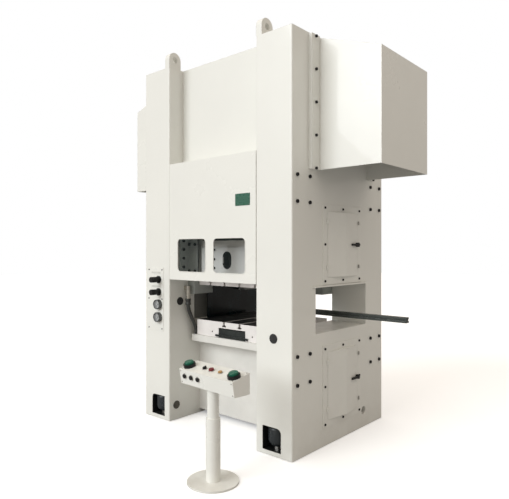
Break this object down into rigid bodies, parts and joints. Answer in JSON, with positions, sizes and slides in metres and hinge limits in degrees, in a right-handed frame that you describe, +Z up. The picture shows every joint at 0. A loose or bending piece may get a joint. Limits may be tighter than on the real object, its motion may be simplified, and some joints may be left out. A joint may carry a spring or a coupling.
{
  "type": "punch press",
  "caption": "Straight-sided mechanical punch press with an off-white box frame, hooded drive, die space, access doors and a separate two-hand push-button console.",
  "frame": {"origin": "on the floor, midway between the four feet of the press", "axes": "+X to the operator's right, +Y to the rear of the press, +Z up"},
  "size_m": [3.033, 2.276, 3.5528],
  "materials": {
    "cream_paint": "semi-gloss off-white enamel",
    "hood_paint": "semi-gloss off-white enamel on sheet",
    "machined_steel": "ground and milled steel",
    "bed_paint": "semi-gloss off-white enamel",
    "cast_steel": "machined casting",
    "black_steel": "black oxide screws",
    "motor_paint": "satin dark grey enamel",
    "belt_rubber": "matte black belt",
    "pad_rubber": "matte black pads",
    "isolator_rubber": "satin dark moulded rubber",
    "hose_rubber": "matte black hose",
    "fitting_brass": "worn fitting",
    "panel_paint": "pale grey sheet",
    "gauge_chrome": "polished bezel and white dial",
    "gauge_glass": "clear lens",
    "needle_black": "black needle",
    "regulator_black": "black moulding",
    "plate_green": "plain green plate",
    "zinc": "zinc plated",
    "rail_steel": "dark green-grey rail",
    "tray_steel": "dark folded sheet",
    "plug_black": "black moulded caps",
    "guard_smoke": "smoked dark sheet",
    "guard_panel": "grey enamel on sheet",
    "door_paint": "semi-gloss off-white enamel",
    "handle_black": "black lever",
    "pedestal_paint": "semi-gloss off-white enamel",
    "console_paint": "semi-gloss off-white enamel",
    "shroud_black": "black guard rings",
    "palm_green": "green palm caps",
    "button_red": "dark red cap",
    "button_yellow": "amber yellow cap",
    "button_dark": "black cap"
  },
  "bodies": {
    "frame": {"left_column": "cream_paint", "right_column": "cream_paint", "crown": "cream_paint", "bed": "bed_paint", "bolster": "machined_steel", "front_cover": "cream_paint", "rear_cover": "cream_paint", "left_hood": "hood_paint", "right_hood": "hood_paint", "gib_blocks": "machined_steel", "cap_screws": "black_steel", "shaft_bearings": "cast_steel", "drive_motor": "motor_paint", "motor_bracket": "cream_paint", "drive_belt": "belt_rubber", "brake_caliper": "cast_steel", "instrument_panel": "panel_paint", "gauge_cases": "gauge_chrome", "gauge_lenses": "gauge_glass", "regulator_bodies": "regulator_black", "nameplate": "plate_green", "rubber_mounts": "pad_rubber", "levelling_bolts": "zinc", "foot_isolators": "isolator_rubber", "outfeed_rail": "rail_steel", "rail_bracket": "machined_steel", "scrap_tray": "tray_steel", "air_hose": "hose_rubber", "hose_fitting": "fitting_brass", "hole_plugs": "plug_black", "left_side_guard": "guard_smoke", "left_guard_panel": "guard_panel", "left_access_covers": "door_paint", "door_frames": "door_paint", "pedestal": "pedestal_paint", "console_box": "console_paint", "palm_button_shrouds": "shroud_black"},
    "slide": {"slide": "bed_paint", "slide_face_plate": "machined_steel", "slide_plate": "machined_steel"},
    "crankshaft": {"crankshaft": "cast_steel", "brake_disc": "machined_steel"},
    "connecting_rods": {"left_connecting_rod": "cast_steel", "right_connecting_rod": "cast_steel"},
    "flywheel": {"flywheel": "cast_steel"},
    "motor_pulley": {"motor_pulley": "machined_steel"},
    "upper_door": {"upper_door": "door_paint"},
    "lower_door": {"lower_door": "door_paint"},
    "upper_door_handle": {"upper_door_handle": "handle_black"},
    "lower_door_handle": {"lower_door_handle": "handle_black"},
    "left_palm_button": {"left_palm_button": "palm_green"},
    "right_palm_button": {"right_palm_button": "palm_green"},
    "red_button": {"red_button": "button_red"},
    "yellow_button": {"yellow_button": "button_yellow"},
    "left_front_button": {"left_front_button": "button_dark"},
    "middle_front_button": {"middle_front_button": "button_dark"},
    "right_front_button": {"right_front_button": "button_dark"},
    "selector_knob": {"selector_knob": "button_dark"},
    "upper_regulator_knob": {"upper_regulator_knob": "regulator_black"},
    "lower_regulator_knob": {"lower_regulator_knob": "regulator_black"},
    "upper_gauge_needle": {"upper_gauge_needle": "needle_black"},
    "lower_gauge_needle": {"lower_gauge_needle": "needle_black"}
  },
  "joints": [
    {"name": "slide_stroke", "type": "slide", "parent": "frame", "child": "slide", "axis": [0, 0, 1], "range_m": [0, 0.03]},
    {"name": "crank_spin", "type": "hinge", "parent": "frame", "child": "crankshaft", "pos_m": [0, 0, 2.7], "axis": [1, 0, 0], "continuous": true},
    {"name": "rods_keep_upright", "type": "hinge", "parent": "crankshaft", "child": "connecting_rods", "pos_m": [0, 0, 2.685], "axis": [1, 0, 0], "continuous": true},
    {"name": "flywheel_spin", "type": "hinge", "parent": "frame", "child": "flywheel", "pos_m": [1.315, 0, 2.7], "axis": [1, 0, 0], "continuous": true},
    {"name": "motor_spin", "type": "hinge", "parent": "frame", "child": "motor_pulley", "pos_m": [1.315, 0, 3.125], "axis": [1, 0, 0], "continuous": true},
    {"name": "upper_door_swing", "type": "hinge", "parent": "frame", "child": "upper_door", "pos_m": [0.934, -0.252, 1.6935], "axis": [0, 0, -1], "range_deg": [0, 110]},
    {"name": "lower_door_swing", "type": "hinge", "parent": "frame", "child": "lower_door", "pos_m": [0.934, -0.252, 0.5], "axis": [0, 0, -1], "range_deg": [0, 110]},
    {"name": "upper_handle_turn", "type": "hinge", "parent": "upper_door", "child": "upper_door_handle", "pos_m": [0.936, 0.215, 1.6935], "axis": [1, 0, 0], "range_deg": [0, 90]},
    {"name": "lower_handle_turn", "type": "hinge", "parent": "lower_door", "child": "lower_door_handle", "pos_m": [0.936, 0.215, 0.5], "axis": [1, 0, 0], "range_deg": [0, 90]},
    {"name": "left_palm_button_press", "type": "slide", "parent": "frame", "child": "left_palm_button", "axis": [0.0157, 0.2305, -0.9729], "range_m": [0, 0.006], "stiffness_N_per_m": 600, "springref_m": -0.006},
    {"name": "right_palm_button_press", "type": "slide", "parent": "frame", "child": "right_palm_button", "axis": [0.0157, 0.2305, -0.9729], "range_m": [0, 0.006], "stiffness_N_per_m": 600, "springref_m": -0.006},
    {"name": "red_button_press", "type": "slide", "parent": "frame", "child": "red_button", "axis": [0.0157, 0.2305, -0.9729], "range_m": [0, 0.003], "stiffness_N_per_m": 400, "springref_m": -0.003},
    {"name": "yellow_button_press", "type": "slide", "parent": "frame", "child": "yellow_button", "axis": [0.0157, 0.2305, -0.9729], "range_m": [0, 0.003], "stiffness_N_per_m": 400, "springref_m": -0.003},
    {"name": "left_front_button_press", "type": "slide", "parent": "frame", "child": "left_front_button", "axis": [0.067, 0.9829, 0.1717], "range_m": [0, 0.003], "stiffness_N_per_m": 400, "springref_m": -0.003},
    {"name": "middle_front_button_press", "type": "slide", "parent": "frame", "child": "middle_front_button", "axis": [0.067, 0.9829, 0.1717], "range_m": [0, 0.003], "stiffness_N_per_m": 400, "springref_m": -0.003},
    {"name": "right_front_button_press", "type": "slide", "parent": "frame", "child": "right_front_button", "axis": [0.067, 0.9829, 0.1717], "range_m": [0, 0.003], "stiffness_N_per_m": 400, "springref_m": -0.003},
    {"name": "selector_turn", "type": "hinge", "parent": "frame", "child": "selector_knob", "pos_m": [0.60979, -1.36026, 0.78856], "axis": [-0.0157, -0.2305, 0.9729], "range_deg": [-45, 45]},
    {"name": "upper_regulator_turn", "type": "hinge", "parent": "frame", "child": "upper_regulator_knob", "pos_m": [-0.705, -0.775, 1.358], "axis": [0, 1, 0], "range_deg": [0, 1080]},
    {"name": "lower_regulator_turn", "type": "hinge", "parent": "frame", "child": "lower_regulator_knob", "pos_m": [-0.705, -0.775, 1.237], "axis": [0, 1, 0], "range_deg": [0, 1080]},
    {"name": "upper_needle_turn", "type": "hinge", "parent": "frame", "child": "upper_gauge_needle", "pos_m": [-0.705, -0.747, 1.116], "axis": [0, 1, 0], "range_deg": [0, 270]},
    {"name": "lower_needle_turn", "type": "hinge", "parent": "frame", "child": "lower_gauge_needle", "pos_m": [-0.705, -0.747, 0.992], "axis": [0, 1, 0], "range_deg": [0, 270]}
  ],
  "couplings": [
    {"joint": "rods_keep_upright", "follows": "crank_spin", "ratio": -1},
    {"joint": "motor_spin", "follows": "flywheel_spin", "ratio": 4.4286}
  ]
}
